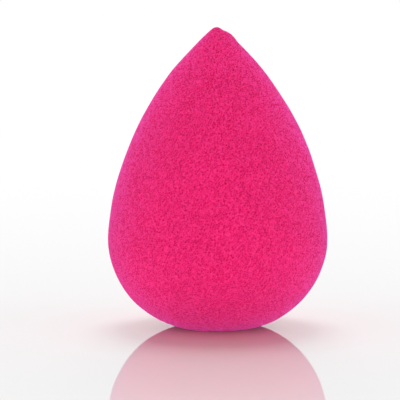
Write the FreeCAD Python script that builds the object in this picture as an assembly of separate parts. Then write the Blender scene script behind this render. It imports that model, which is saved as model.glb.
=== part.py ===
import FreeCAD, Part
import math
import os

# Makeup sponge: a teardrop of moulded foam that stands on a small flat foot.
# Its outline is three arcs, turned about the vertical axis: the round belly, the long flank
# that leans in above it, and the small round of the tip. A thin fine-pored skin, formed
# against the mould wall, encloses the soft open-cell core.
# Millimetres, +Z up, origin at the centre of the foot.

# Driving dimensions
sponge_height = 60.0     # foot to tip
belly_diameter = 43.7    # across the widest girth
belly_height = 18.0      # widest girth above the foot
foot_diameter = 13.6     # flat that the sponge stands on
flank_radius = 61.0      # curve of the flank, seen from the side
tip_radius = 1.6         # round of the tip
skin_thickness = 0.8     # skin over the core, measured square to the surface
core_tip_radius = 2.0    # round of the core's own tip, blunter than the skin over it

up = FreeCAD.Vector(0, 0, 1)
line_of_sight = FreeCAD.Vector(0, 1, 0)  # square to the plane of the outline
full_turn = 360


def point(radius, height):
    return FreeCAD.Vector(radius, 0, height)


def arc(centre, start, end):
    # The shorter arc about centre, through a middle point on the same circle.
    towards = (start - centre).normalize() + (end - centre).normalize()
    middle = centre + towards.normalize() * (start - centre).Length
    return Part.Arc(start, middle, end).toShape()


def belly_circle():
    # Upright at the girth, and through the edge of the foot.
    inward = (belly_diameter - foot_diameter) / 2
    radius = (inward**2 + belly_height**2) / (2 * inward)
    return point(belly_diameter / 2 - radius, belly_height), radius


def flank_centre(belly_centre, belly_radius):
    # Centre of the arc that is tangent to the belly circle and to the circle of the tip.
    tip_centre = point(0, sponge_height - tip_radius)
    axis = tip_centre - belly_centre
    reach = axis.Length
    from_belly = flank_radius - belly_radius
    from_tip = flank_radius - tip_radius
    along = (from_belly**2 - from_tip**2 + reach**2) / (2 * reach)
    across = math.sqrt(from_belly**2 - along**2)
    axis.normalize()
    return belly_centre + axis * along + axis.cross(line_of_sight) * across


def teardrop(inset, tip_round):
    # The sponge's outline drawn in by inset all round, with its own tip, turned to a solid.
    belly_centre, belly_radius = belly_circle()
    flank_middle = flank_centre(belly_centre, belly_radius)
    belly_inner = belly_radius - inset
    flank_inner = flank_radius - inset
    foot_half = belly_centre.x + math.sqrt(belly_inner**2 - (belly_centre.z - inset) ** 2)
    tip_rise = math.sqrt((flank_inner - tip_round) ** 2 - flank_middle.x**2)
    tip_centre = point(0, flank_middle.z + tip_rise)

    foot_middle = point(0, inset)
    foot_edge = point(foot_half, inset)
    belly_top = belly_centre + (belly_centre - flank_middle).normalize() * belly_inner
    flank_top = tip_centre + (tip_centre - flank_middle).normalize() * tip_round
    tip = tip_centre + up * tip_round
    outline = Part.Wire([
        Part.LineSegment(foot_middle, foot_edge).toShape(),
        arc(belly_centre, foot_edge, belly_top),
        arc(flank_middle, belly_top, flank_top),
        arc(tip_centre, flank_top, tip),
        Part.LineSegment(tip, foot_middle).toShape(),
    ])
    return Part.Face(outline).revolve(FreeCAD.Vector(), up, full_turn)


def foam_core():
    return teardrop(skin_thickness, core_tip_radius)


def foam_skin():
    return teardrop(0, tip_radius).cut(foam_core())


os.makedirs("parts", exist_ok=True)
for name, shape in {"foam_core": foam_core(), "foam_skin": foam_skin()}.items():
    print(name, "valid", shape.isValid(), "volume", round(shape.Volume, 1), "mm3")
    shape.exportStep(f"parts/{name}.step")
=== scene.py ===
import bpy
import math
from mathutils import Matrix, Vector


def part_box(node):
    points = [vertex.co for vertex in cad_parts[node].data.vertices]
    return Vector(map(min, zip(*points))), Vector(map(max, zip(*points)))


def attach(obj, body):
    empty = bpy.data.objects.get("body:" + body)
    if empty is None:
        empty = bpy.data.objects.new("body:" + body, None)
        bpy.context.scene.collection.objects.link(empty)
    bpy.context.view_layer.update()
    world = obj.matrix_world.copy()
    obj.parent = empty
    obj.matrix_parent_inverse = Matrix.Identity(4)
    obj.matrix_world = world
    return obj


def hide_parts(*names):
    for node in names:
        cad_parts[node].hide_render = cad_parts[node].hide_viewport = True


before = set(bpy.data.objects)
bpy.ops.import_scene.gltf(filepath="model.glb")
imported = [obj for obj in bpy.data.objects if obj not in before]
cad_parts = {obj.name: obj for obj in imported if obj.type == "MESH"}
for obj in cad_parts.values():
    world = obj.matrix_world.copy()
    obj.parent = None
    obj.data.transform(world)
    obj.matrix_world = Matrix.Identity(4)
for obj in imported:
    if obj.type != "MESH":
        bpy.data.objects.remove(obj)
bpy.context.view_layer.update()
print("frame:", sorted(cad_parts))

# Outline of the sponge, in metres. Height, girth and skin come from the frame.
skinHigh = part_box("foam_skin")[1]
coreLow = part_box("foam_core")[0]
outline = {
    "height": skinHigh.z,
    "bellyRadius": skinHigh.x,
    "bellyHeight": 0.018,  # widest girth above the foot
    "footRadius": 0.0068,  # flat that it stands on
    "flankRadius": 0.061,  # curve of the flank, seen from the side
    "tipRadius": 0.0016,
    "coreTipRadius": 0.002,
    "skin": coreLow.z,  # skin over the core
    "arcSteps": 400,  # points along each arc
}


def circlePoint(centre, radius, towards):
    return centre + towards.normalized() * radius


def outlinePoints(inset, tipRound):
    # start, middle and end of the belly, flank and tip arcs, all tangent to each other
    half = outline["bellyRadius"]
    inward = half - outline["footRadius"]
    bellyArc = (inward**2 + outline["bellyHeight"] ** 2) / (2 * inward)
    belly = Vector((half - bellyArc, 0, outline["bellyHeight"]))
    tip = Vector((0, 0, outline["height"] - outline["tipRadius"]))
    fromBelly = outline["flankRadius"] - bellyArc
    fromTip = outline["flankRadius"] - outline["tipRadius"]
    reach = (tip - belly).length
    along = (fromBelly**2 - fromTip**2 + reach**2) / (2 * reach)
    across = math.sqrt(fromBelly**2 - along**2)
    axis = (tip - belly).normalized()
    flank = belly + axis * along + axis.cross(Vector((0, 1, 0))) * across

    bellyArc -= inset
    flankArc = outline["flankRadius"] - inset
    tip = Vector((0, 0, flank.z + math.sqrt((flankArc - tipRound) ** 2 - flank.x**2)))
    footEdge = Vector((belly.x + math.sqrt(bellyArc**2 - (belly.z - inset) ** 2), 0, inset))
    out = (footEdge - belly).normalized()
    lower = (belly - flank).normalized()  # outward where belly and flank meet
    upper = (tip - flank).normalized()  # outward where flank and tip meet
    top = Vector((0, 0, 1))
    return {
        "Foot Middle": Vector((0, 0, inset)),
        "Foot Edge": footEdge,
        "Belly Middle": circlePoint(belly, bellyArc, out + lower),
        "Belly Top": circlePoint(belly, bellyArc, lower),
        "Flank Middle": circlePoint(flank, flankArc, lower + upper),
        "Flank Top": circlePoint(tip, tipRound, upper),
        "Tip Middle": circlePoint(tip, tipRound, upper + top),
        "Tip": circlePoint(tip, tipRound, top),
    }


# Helpers for node trees
def newTree(name, kind, outputs, inputs):
    tree = bpy.data.node_groups.new(name, kind)
    for label, socketType in outputs.items():
        tree.interface.new_socket(label, in_out="OUTPUT", socket_type=socketType)
    for label, socketType in inputs.items():
        tree.interface.new_socket(label, in_out="INPUT", socket_type=socketType)
    given = tree.nodes.new("NodeGroupInput").outputs
    return tree, given


def meshTree(name, inputs):
    return newTree(name, "GeometryNodeTree", {"Mesh": "NodeSocketGeometry"}, inputs)


def addNode(tree, kind, sockets=None, **settings):
    node = tree.nodes.new(kind)
    for name, value in settings.items():
        setattr(node, name, value)
    for socket, value in (sockets or {}).items():
        if isinstance(value, bpy.types.NodeSocket):
            tree.links.new(value, node.inputs[socket])
        else:
            node.inputs[socket].default_value = value
    return node


def math2(tree, operation, first, second=0.0):
    return addNode(tree, "ShaderNodeMath", {0: first, 1: second}, operation=operation).outputs[0]


def product(tree, first, second):
    return math2(tree, "MULTIPLY", first, second)


def vector2(tree, operation, first, second=(0, 0, 0)):
    sockets = {0: first, 1: second}
    return addNode(tree, "ShaderNodeVectorMath", sockets, operation=operation).outputs[0]


def scaled(tree, vector, factor):
    sockets = {0: vector, "Scale": factor}
    return addNode(tree, "ShaderNodeVectorMath", sockets, operation="SCALE").outputs[0]


def smoothRange(tree, value, low, high, toLow=0.0, toHigh=1.0):
    sockets = {"Value": value, "From Min": low, "From Max": high, "To Min": toLow, "To Max": toHigh}
    return addNode(tree, "ShaderNodeMapRange", sockets, interpolation_type="SMOOTHSTEP").outputs[0]


def shifted(tree, mesh, offset):
    return addNode(tree, "GeometryNodeSetPosition", {"Geometry": mesh, "Offset": offset}).outputs[0]


def stored(tree, mesh, name, value, kind, domain):
    sockets = {"Geometry": mesh, "Name": name, "Value": value}
    node = addNode(tree, "GeometryNodeStoreNamedAttribute", sockets, data_type=kind, domain=domain)
    return node.outputs[0]


def placeGroup(tree, group, values):
    return addNode(tree, "GeometryNodeGroup", values, node_tree=group).outputs[0]


def inputsOf(group):
    return {
        item.name: item.socket_type
        for item in group.interface.items_tree
        if item.in_out == "INPUT" and item.socket_type != "NodeSocketGeometry"
    }


def passedOn(group, given, prefix=""):
    # what the outer tree was given, for the inputs of a group inside it
    return {name: given[prefix + name] for name in inputsOf(group)}


def finishTree(tree, given, mesh):
    whole = addNode(tree, "GeometryNodeRealizeInstances", {0: mesh})
    sockets = {0: whole.outputs[0], "Material": given["Material"]}
    painted = addNode(tree, "GeometryNodeSetMaterial", sockets)
    addNode(tree, "NodeGroupOutput", {0: painted.outputs[0]})


def evaluated(name, tree, values):
    # the tree's result as a plain mesh object, with no modifier left on it
    piece = bpy.data.objects.new(name, bpy.data.meshes.new(name))
    bpy.context.scene.collection.objects.link(piece)
    modifier = piece.modifiers.new(tree.name, "NODES")
    modifier.node_group = tree
    for item in tree.interface.items_tree:
        if item.in_out == "INPUT" and item.name in values:
            modifier[item.identifier] = values[item.name]
    graph = bpy.context.evaluated_depsgraph_get()
    shaped = piece.evaluated_get(graph)
    mesh = bpy.data.meshes.new_from_object(shaped, preserve_all_data_layers=True, depsgraph=graph)
    piece.modifiers.clear()
    piece.data = mesh
    mesh.name = name
    return piece


def turnedFormTree():
    # the arcs of the outline, turned about Z, as an even grid of faces with its own map
    inputs = {"Cells": "NodeSocketInt"}
    pointNames = outlinePoints(0.0, outline["tipRadius"])
    inputs.update({name: "NodeSocketVector" for name in pointNames})
    tree, given = meshTree("turnedForm", inputs)
    ends = {"Start": given["Foot Middle"], "End": given["Foot Edge"]}
    pieces = [addNode(tree, "GeometryNodeCurvePrimitiveLine", ends).outputs["Curve"]]
    for start, middle, end in (
        ("Foot Edge", "Belly Middle", "Belly Top"),
        ("Belly Top", "Flank Middle", "Flank Top"),
        ("Flank Top", "Tip Middle", "Tip"),
    ):
        sockets = {"Start": given[start], "Middle": given[middle], "End": given[end]}
        sockets["Resolution"] = outline["arcSteps"]
        pieces.append(addNode(tree, "GeometryNodeCurveArc", sockets, mode="POINTS").outputs["Curve"])
    profile = addNode(tree, "GeometryNodeJoinGeometry")
    for piece in reversed(pieces):  # the last one linked comes first
        tree.links.new(piece, profile.inputs[0])

    corners = math2(tree, "ADD", given["Cells"], 1)
    sides = {"Size": (2, 2, 2), "Vertices X": corners, "Vertices Y": corners, "Vertices Z": corners}
    cube = addNode(tree, "GeometryNodeMeshCube", sides)
    mapped = stored(tree, cube.outputs["Mesh"], "OFBake", cube.outputs["UV Map"], "FLOAT2", "CORNER")
    place = addNode(tree, "GeometryNodeInputPosition").outputs[0]
    evened = vector2(tree, "TANGENT", scaled(tree, place, math.pi / 4))  # like sizes on the ball
    aim = addNode(tree, "ShaderNodeSeparateXYZ", {0: vector2(tree, "NORMALIZE", evened)}).outputs
    fromFoot = math2(tree, "ARCCOSINE", product(tree, aim["Z"], -1.0))
    share = math2(tree, "DIVIDE", fromFoot, math.pi)  # 0 at the foot, 1 at the tip
    turn = math2(tree, "ARCTAN2", aim["Y"], aim["X"])
    sockets = {"Curves": profile.outputs[0], "Factor": share}
    onProfile = addNode(tree, "GeometryNodeSampleCurve", sockets, mode="FACTOR", use_all_curves=True)
    sockets = {"Vector": onProfile.outputs["Position"], "Angle": turn}
    turned = addNode(tree, "ShaderNodeVectorRotate", sockets, rotation_type="Z_AXIS")
    sockets = {"Geometry": mapped, "Position": turned.outputs[0]}
    form = addNode(tree, "GeometryNodeSetPosition", sockets)
    addNode(tree, "NodeGroupOutput", {"Mesh": form.outputs[0]})
    return tree


# How foam cells vary, in skin and core alike
cellRule = {
    "middle": 0.5,  # mean of the noise
    "detail": 1.0,
    "slopeFrom": 0.5,  # a cell sinks between these shares of its wall
    "slopeTo": 2.0,
    "closedDraw": 0.15,  # cells with a lower draw are nearly skinned over
    "openDraw": 0.7,
    "leastOpen": 0.25,
    "leastPore": 0.5,  # smallest blown pore, as a share of the usual radius
    "poreFloor": 0.35,  # share of a blown pore that is flat
}


def openPoresTree():
    # foam cells with thin walls, some open and some skinned over, and larger blown pores among them
    inputs = {"Mesh": "NodeSocketGeometry", "Seed": "NodeSocketVector"}
    for size in (
        "Cell Size",
        "Wall",
        "Cell Depth",
        "Pore Spacing",
        "Pore Radius",
        "Pore Depth",
        "Ragged",
        "Lump Size",
        "Lump Height",
    ):
        inputs[size] = "NodeSocketFloat"
    tree, given = meshTree("openPores", inputs)
    normal = addNode(tree, "GeometryNodeInputNormal").outputs[0]
    place = vector2(tree, "ADD", addNode(tree, "GeometryNodeInputPosition").outputs[0], given["Seed"])
    middle = cellRule["middle"]

    def perMetre(size):
        return math2(tree, "DIVIDE", 1.0, given[size])

    def noise(size):
        sockets = {"Vector": place, "Scale": perMetre(size), "Detail": cellRule["detail"]}
        return addNode(tree, "ShaderNodeTexNoise", sockets).outputs

    lump = math2(tree, "SUBTRACT", noise("Lump Size")[0], middle)
    uneven = shifted(tree, given["Mesh"], scaled(tree, normal, product(tree, lump, given["Lump Height"])))

    astray = vector2(tree, "SUBTRACT", noise("Cell Size")["Color"], (middle, middle, middle))
    ragged = vector2(tree, "ADD", place, scaled(tree, astray, given["Ragged"]))
    cellScale = {"Vector": ragged, "Scale": perMetre("Cell Size")}
    walls = addNode(tree, "ShaderNodeTexVoronoi", cellScale, feature="DISTANCE_TO_EDGE")
    cells = addNode(tree, "ShaderNodeTexVoronoi", cellScale)
    fromWall = product(tree, walls.outputs["Distance"], given["Cell Size"])
    slopeFrom = product(tree, given["Wall"], cellRule["slopeFrom"])
    slopeTo = product(tree, given["Wall"], cellRule["slopeTo"])
    hollow = smoothRange(tree, fromWall, slopeFrom, slopeTo)
    draws = (cellRule["closedDraw"], cellRule["openDraw"])
    opened = smoothRange(tree, cells.outputs["Color"], *draws, cellRule["leastOpen"])
    cell = product(tree, hollow, opened)

    blown = addNode(tree, "ShaderNodeTexVoronoi", {"Vector": ragged, "Scale": perMetre("Pore Spacing")})
    fromMiddle = product(tree, blown.outputs["Distance"], given["Pore Spacing"])
    larger = math2(tree, "ADD", blown.outputs["Color"], cellRule["leastPore"])
    radius = product(tree, given["Pore Radius"], larger)
    pore = smoothRange(tree, fromMiddle, radius, product(tree, radius, cellRule["poreFloor"]))

    cellSunk = product(tree, cell, given["Cell Depth"])
    poreSunk = product(tree, pore, given["Pore Depth"])
    # the pore mark also sets where the materials paint shade into the pores
    marked = stored(tree, uneven, "pore", math2(tree, "MAXIMUM", cell, pore), "FLOAT", "POINT")
    inwards = product(tree, math2(tree, "MAXIMUM", cellSunk, poreSunk), -1.0)
    pitted = shifted(tree, marked, scaled(tree, normal, inwards))
    smooth = addNode(tree, "GeometryNodeSetShadeSmooth", {"Geometry": pitted, "Shade Smooth": True})
    addNode(tree, "NodeGroupOutput", {"Mesh": smooth.outputs[0]})
    return tree


def swollenSpotTree():
    # a spot where the moulding stands out, or sinks in if the height is negative
    inputs = {
        "Mesh": "NodeSocketGeometry",
        "Place": "NodeSocketVector",
        "Radius": "NodeSocketFloat",
        "Height": "NodeSocketFloat",
    }
    tree, given = meshTree("swollenSpot", inputs)
    normal = addNode(tree, "GeometryNodeInputNormal").outputs[0]
    place = addNode(tree, "GeometryNodeInputPosition").outputs[0]
    sockets = {0: place, 1: given["Place"]}
    away = addNode(tree, "ShaderNodeVectorMath", sockets, operation="DISTANCE").outputs["Value"]
    near = smoothRange(tree, away, given["Radius"], 0.0)
    moved = shifted(tree, given["Mesh"], scaled(tree, normal, product(tree, near, given["Height"])))
    addNode(tree, "NodeGroupOutput", {"Mesh": moved})
    return tree


turnedForm = turnedFormTree()
openPores = openPoresTree()
swollenSpot = swollenSpotTree()
print("node trees are made")

# Foam grain, finer than the modelled cells, with painted shade in pores and pin holes and a painted
# highlight on cell walls, shared by the materials of skin and core
grainShadeAndHighlightRule = {
    "detail": 3.0,
    "middle": 0.5,  # mean of the noise
    "pinScale": 0.5,  # pin holes, as a share of the grain's scale
    "pinEdge": 0.45,
    "pinFloor": 0.1,
    "pinShade": 0.6,  # how far a pin hole takes the darker pore colour, painted shade
    "crestTo": 0.3,  # cell walls and skinned-over cells, with a lower pore value, are paler: a painted highlight
    "mottleScale": 0.02,  # broad uneven dye, as a share of the grain's scale
    "mottleDetail": 2.0,
    "smoothBelow": 0.3,
    "roughAbove": 0.7,
    "grainHeight": 0.5,  # against the depth of a pin hole
}


def foamGrainShadeAndHighlightGroup():
    inputs = {
        "Vector": "NodeSocketVector",
        "Pore": "NodeSocketFloat",
        "Face Colour": "NodeSocketColor",
        "Painted Pore Shade": "NodeSocketColor",
        "Painted Crest Highlight": "NodeSocketColor",
        "Grain Size": "NodeSocketFloat",
        "Mottle": "NodeSocketFloat",
        "Least Rough": "NodeSocketFloat",
        "Most Rough": "NodeSocketFloat",
    }
    outputs = {"Colour": "NodeSocketColor", "Roughness": "NodeSocketFloat", "Height": "NodeSocketFloat"}
    tree, given = newTree("foamGrainShadeAndHighlight", "ShaderNodeTree", outputs, inputs)
    perMetre = math2(tree, "DIVIDE", 1.0, given["Grain Size"])

    def noise(scale, detail):
        sockets = {"Vector": given["Vector"], "Scale": scale, "Detail": detail}
        return addNode(tree, "ShaderNodeTexNoise", sockets).outputs[0]

    fine = noise(perMetre, grainShadeAndHighlightRule["detail"])
    broad = noise(product(tree, perMetre, grainShadeAndHighlightRule["mottleScale"]), grainShadeAndHighlightRule["mottleDetail"])
    sockets = {"Vector": given["Vector"], "Scale": product(tree, perMetre, grainShadeAndHighlightRule["pinScale"])}
    holes = addNode(tree, "ShaderNodeTexVoronoi", sockets).outputs["Distance"]
    pin = smoothRange(tree, holes, grainShadeAndHighlightRule["pinEdge"], grainShadeAndHighlightRule["pinFloor"])
    # pores and pin holes are darkened: painted shade in the hollows
    hollow = math2(tree, "MAXIMUM", given["Pore"], product(tree, pin, grainShadeAndHighlightRule["pinShade"]))
    # cell walls are paled: a painted highlight
    crest = smoothRange(tree, given["Pore"], grainShadeAndHighlightRule["crestTo"], 0.0)
    sockets = {"Factor": crest, "A": given["Face Colour"], "B": given["Painted Crest Highlight"]}
    crestHighlighted = addNode(tree, "ShaderNodeMix", sockets, data_type="RGBA").outputs["Result"]
    sockets = {"Factor": hollow, "A": crestHighlighted, "B": given["Painted Pore Shade"]}
    poreShaded = addNode(tree, "ShaderNodeMix", sockets, data_type="RGBA").outputs["Result"]
    tone = product(tree, math2(tree, "SUBTRACT", broad, grainShadeAndHighlightRule["middle"]), given["Mottle"])
    sockets = {"Color": poreShaded, "Value": math2(tree, "ADD", tone, 1.0)}
    shade = addNode(tree, "ShaderNodeHueSaturation", sockets).outputs[0]
    limits = (grainShadeAndHighlightRule["smoothBelow"], grainShadeAndHighlightRule["roughAbove"])
    rough = smoothRange(tree, fine, *limits, given["Least Rough"], given["Most Rough"])
    height = math2(tree, "SUBTRACT", product(tree, fine, grainShadeAndHighlightRule["grainHeight"]), pin)
    addNode(tree, "NodeGroupOutput", {"Colour": shade, "Roughness": rough, "Height": height})
    return tree


foamGrainShadeAndHighlight = foamGrainShadeAndHighlightGroup()


def foamMaterial(name, look):
    material = bpy.data.materials.new(name)
    material.use_nodes = True
    tree = material.node_tree
    tree.nodes.clear()
    sockets = {
        "Vector": addNode(tree, "ShaderNodeTexCoord").outputs["Object"],
        "Pore": addNode(tree, "ShaderNodeAttribute", attribute_name="pore").outputs["Fac"],
    }
    for label in inputsOf(foamGrainShadeAndHighlight):
        if label not in sockets:
            sockets[label] = look[label]
    grain = addNode(tree, "ShaderNodeGroup", sockets, node_tree=foamGrainShadeAndHighlight).outputs
    bump = addNode(
        tree,
        "ShaderNodeBump",
        {"Height": grain["Height"], "Strength": look["bump"], "Distance": look["bumpDepth"]},
    )
    shader = addNode(
        tree,
        "ShaderNodeBsdfPrincipled",
        {
            "Base Color": grain["Colour"],
            "Roughness": grain["Roughness"],
            "Normal": bump.outputs["Normal"],
            "Specular IOR Level": look["shine"],
            "Subsurface Weight": look["scatter"],
            "Subsurface Radius": look["scatterColour"],
            "Subsurface Scale": look["scatterDepth"],
            "Sheen Weight": look["sheen"],
            "Sheen Roughness": look["sheenSpread"],
            "Sheen Tint": look["sheenTint"],
        },
    )
    addNode(tree, "ShaderNodeOutputMaterial", {"Surface": shader.outputs[0]})
    return material


# Skin: the outer wall is pored, the inner wall lies on the core
skin = {
    "cells": 348,  # faces along each of the six sides
    "wallCells": 48,
    "spots": {  # uneven places of the moulding, on the right in the photo
        "Shoulder": {"Place": (0.0026, 0.0, 0.0582), "Radius": 0.0023, "Height": 0.0003},
        "Dent": {"Place": (0.0009, 0.0, 0.0597), "Radius": 0.0012, "Height": -0.00022},
        "Flank": {"Place": (0.0172, 0.0, 0.0375), "Radius": 0.026, "Height": 0.0002},
        "Whole": {"Place": (0.0, 0.0, 0.025), "Radius": 1.0, "Height": 0.0001},  # what the pores take off
    },
    "pores": {
        "Seed": (0.31, 0.17, 0.05),
        "Cell Size": 0.00042,
        "Wall": 0.00005,
        "Cell Depth": 0.00016,
        "Pore Spacing": 0.0013,
        "Pore Radius": 0.00018,
        "Pore Depth": 0.0002,
        "Ragged": 0.00025,
        "Lump Size": 0.009,
        "Lump Height": 0.0004,
    },
    "look": {
        "Face Colour": (0.88, 0.006, 0.158, 1),
        # darker colour in pores and pin holes is painted shade
        "Painted Pore Shade": (0.66, 0.001, 0.075, 1),
        # paler colour on cell walls is a painted highlight
        "Painted Crest Highlight": (0.93, 0.03, 0.21, 1),
        "Grain Size": 0.00016,
        "Mottle": 0.12,
        "Least Rough": 0.75,
        "Most Rough": 0.95,
        "bump": 0.6,
        "bumpDepth": 0.00008,
        "shine": 0.3,
        "scatter": 0.5,
        "scatterColour": (1.0, 0.35, 0.5),
        "scatterDepth": 0.0005,
        "sheen": 1.0,
        "sheenSpread": 0.5,
        "sheenTint": (1.0, 0.15, 0.68, 1),
    },
}


def skinTree():
    inputs = {"Material": "NodeSocketMaterial", **inputsOf(openPores)}
    for wall in ("Outer", "Inner"):
        inputs.update({f"{wall} {name}": kind for name, kind in inputsOf(turnedForm).items()})
    for spot in skin["spots"]:
        inputs.update({f"{spot} {name}": kind for name, kind in inputsOf(swollenSpot).items()})
    tree, given = meshTree("foamSkin", inputs)
    outer = placeGroup(tree, turnedForm, passedOn(turnedForm, given, "Outer "))
    inner = placeGroup(tree, turnedForm, passedOn(turnedForm, given, "Inner "))
    for spot in skin["spots"]:
        values = passedOn(swollenSpot, given, f"{spot} ")
        outer = placeGroup(tree, swollenSpot, {"Mesh": outer, **values})
    pored = placeGroup(tree, openPores, {"Mesh": outer, **passedOn(openPores, given)})
    place = addNode(tree, "GeometryNodeInputPosition").outputs[0]
    onFloor = vector2(tree, "MAXIMUM", place, (-1.0, -1.0, 0.0))  # the foot stays flat
    standing = addNode(tree, "GeometryNodeSetPosition", {"Geometry": pored, "Position": onFloor})
    inside = addNode(tree, "GeometryNodeFlipFaces", {0: inner})
    both = addNode(tree, "GeometryNodeJoinGeometry")
    tree.links.new(inside.outputs[0], both.inputs[0])
    tree.links.new(standing.outputs[0], both.inputs[0])
    finishTree(tree, given, both.outputs[0])
    return tree


def makeSkin():
    values = {"Material": foamMaterial("skinFoam", skin["look"]), **skin["pores"]}
    outerPoints = outlinePoints(0.0, outline["tipRadius"])
    innerPoints = outlinePoints(outline["skin"], outline["coreTipRadius"])
    groups = {
        "Outer": {"Cells": skin["cells"], **outerPoints},
        "Inner": {"Cells": skin["wallCells"], **innerPoints},
        **skin["spots"],
    }
    for prefix, sizes in groups.items():
        values.update({f"{prefix} {name}": size for name, size in sizes.items()})
    piece = evaluated("spongeSkin", skinTree(), values)
    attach(piece, "root")
    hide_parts("foam_skin")
    print("skin:", len(piece.data.polygons), "faces", [u.name for u in piece.data.uv_layers])


# Core: larger open cells, inside the skin
core = {
    "cells": 120,
    "clearance": 0.00002,
    "pores": {
        "Seed": (0.11, 0.43, 0.27),
        "Cell Size": 0.0012,
        "Wall": 0.00012,
        "Cell Depth": 0.0005,
        "Pore Spacing": 0.004,
        "Pore Radius": 0.0008,
        "Pore Depth": 0.0009,
        "Ragged": 0.0006,
        "Lump Size": 0.009,
        "Lump Height": 0.0,
    },
    "look": {
        "Face Colour": (0.84, 0.04, 0.19, 1),
        # darker colour in pores and pin holes is painted shade
        "Painted Pore Shade": (0.62, 0.015, 0.11, 1),
        # paler colour on cell walls is a painted highlight
        "Painted Crest Highlight": (0.88, 0.06, 0.23, 1),
        "Grain Size": 0.0003,
        "Mottle": 0.1,
        "Least Rough": 0.8,
        "Most Rough": 0.98,
        "bump": 0.6,
        "bumpDepth": 0.00012,
        "shine": 0.2,
        "scatter": 0.25,
        "scatterColour": (1.0, 0.25, 0.4),
        "scatterDepth": 0.0008,
        "sheen": 0.3,
        "sheenSpread": 0.5,
        "sheenTint": (1.0, 0.45, 0.9, 1),
    },
}


def coreTree():
    inputs = {"Material": "NodeSocketMaterial", **inputsOf(turnedForm), **inputsOf(openPores)}
    tree, given = meshTree("foamCore", inputs)
    form = placeGroup(tree, turnedForm, passedOn(turnedForm, given))
    pored = placeGroup(tree, openPores, {"Mesh": form, **passedOn(openPores, given)})
    finishTree(tree, given, pored)
    return tree


def makeCore():
    inset = outline["skin"] + core["clearance"]
    values = {"Material": foamMaterial("coreFoam", core["look"]), "Cells": core["cells"], **core["pores"]}
    values.update(outlinePoints(inset, outline["coreTipRadius"]))
    piece = evaluated("spongeCore", coreTree(), values)
    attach(piece, "root")
    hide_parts("foam_core")
    print("core:", len(piece.data.polygons), "faces")


# Stage: glossy white floor, white surroundings, soft lamps
stage = {
    "floorHalf": 12.0,
    "floorColour": (0.95, 0.95, 0.95, 1),
    "floorRoughness": 0.03,
    "fadeFrom": 0.03,  # the floor pales to the white surroundings between these distances
    "fadeTo": 0.3,
    "white": (1, 1, 1, 1),
    "fill": 0.42,  # light from all round
    "lamps": [
        {"name": "topLamp", "place": (0.0, 0.35, 0.85), "size": 0.5, "watts": 3.1},
        {"name": "frontLamp", "place": (0.0, -1.1, 0.09), "size": 0.16, "watts": 4.3},
        {"name": "leftLamp", "place": (-0.98, -0.4, 0.09), "size": 0.16, "watts": 2.3},
        {"name": "rightLamp", "place": (0.98, -0.4, 0.09), "size": 0.16, "watts": 2.3},
        {"name": "backLamp", "place": (0.0, 1.2, 0.35), "size": 0.6, "watts": 5.0},
    ],
}


def floorMaterial():
    material = bpy.data.materials.new("glossyFloor")
    material.use_nodes = True
    tree = material.node_tree
    tree.nodes.clear()
    sockets = {"Base Color": stage["floorColour"], "Roughness": stage["floorRoughness"]}
    gloss = addNode(tree, "ShaderNodeBsdfPrincipled", sockets)
    white = addNode(tree, "ShaderNodeEmission", {"Color": stage["white"], "Strength": 1.0})
    place = addNode(tree, "ShaderNodeTexCoord").outputs["Object"]
    away = addNode(tree, "ShaderNodeVectorMath", {0: place}, operation="LENGTH").outputs["Value"]
    distances = {"Value": away, "From Min": stage["fadeFrom"], "From Max": stage["fadeTo"]}
    far = addNode(tree, "ShaderNodeMapRange", distances).outputs[0]
    seen = addNode(tree, "ShaderNodeLightPath").outputs["Is Camera Ray"]
    fade = product(tree, far, seen)
    mixed = addNode(tree, "ShaderNodeMixShader", {0: fade, 1: gloss.outputs[0], 2: white.outputs[0]})
    addNode(tree, "ShaderNodeOutputMaterial", {"Surface": mixed.outputs[0]})
    return material


def makeFloor():
    half = stage["floorHalf"]
    corners = [(-half, -half, 0), (half, -half, 0), (half, half, 0), (-half, half, 0)]
    mesh = bpy.data.meshes.new("floor")
    mesh.from_pydata(corners, [], [(0, 1, 2, 3)])
    floor = bpy.data.objects.new("floor", mesh)
    bpy.context.scene.collection.objects.link(floor)
    mesh.materials.append(floorMaterial())


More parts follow.
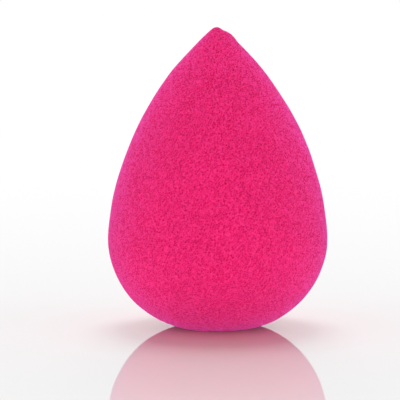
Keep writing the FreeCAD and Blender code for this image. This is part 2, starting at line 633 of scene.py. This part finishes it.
def makeSurroundings():
    world = bpy.data.worlds.new("whiteStudio")
    bpy.context.scene.world = world
    world.use_nodes = True
    tree = world.node_tree
    tree.nodes.clear()
    path = addNode(tree, "ShaderNodeLightPath").outputs
    seen = math2(tree, "MAXIMUM", path["Is Camera Ray"], path["Is Glossy Ray"])
    seen = math2(tree, "MAXIMUM", seen, path["Is Transmission Ray"])
    brighter = product(tree, seen, 1.0 - stage["fill"])  # white where it is seen
    strength = math2(tree, "ADD", brighter, stage["fill"])
    back = addNode(tree, "ShaderNodeBackground", {"Color": stage["white"], "Strength": strength})
    addNode(tree, "ShaderNodeOutputWorld", {"Surface": back.outputs[0]})


def makeLamps():
    aim = Vector((0, 0, outline["height"] / 2))
    for lamp in stage["lamps"]:
        light = bpy.data.lights.new(lamp["name"], "AREA")
        light.shape = "DISK"
        light.size = lamp["size"]
        light.energy = lamp["watts"]
        holder = bpy.data.objects.new(lamp["name"], light)
        holder.location = lamp["place"]
        holder.visible_glossy = False  # no lamp shows in the floor
        holder.rotation_euler = (aim - holder.location).to_track_quat("-Z", "Y").to_euler()
        bpy.context.scene.collection.objects.link(holder)


# Camera: a long lens, a little above the floor
view = {
    "aim": (-0.0035, 0.0, 0.0255),
    "distance": 0.6,
    "elevation": 6.0,  # degrees
    "lens": 270.0,
    "sensor": 36.0,
    "nearest": 0.01,
}


def makeCamera():
    camera = bpy.data.cameras.new("photoView")
    camera.lens = view["lens"]
    camera.sensor_width = view["sensor"]
    camera.clip_start = view["nearest"]
    holder = bpy.data.objects.new("photoView", camera)
    rise = math.radians(view["elevation"])
    away = Vector((0, -math.cos(rise), math.sin(rise)))
    holder.location = Vector(view["aim"]) + away * view["distance"]
    holder.rotation_euler = away.to_track_quat("Z", "Y").to_euler()
    bpy.context.scene.collection.objects.link(holder)
    bpy.context.scene.camera = holder


makeSkin()
makeCore()
makeFloor()
makeSurroundings()
makeLamps()
makeCamera()
bpy.context.scene.view_settings.view_transform = "Standard"
print("stage, lamps and camera are set")
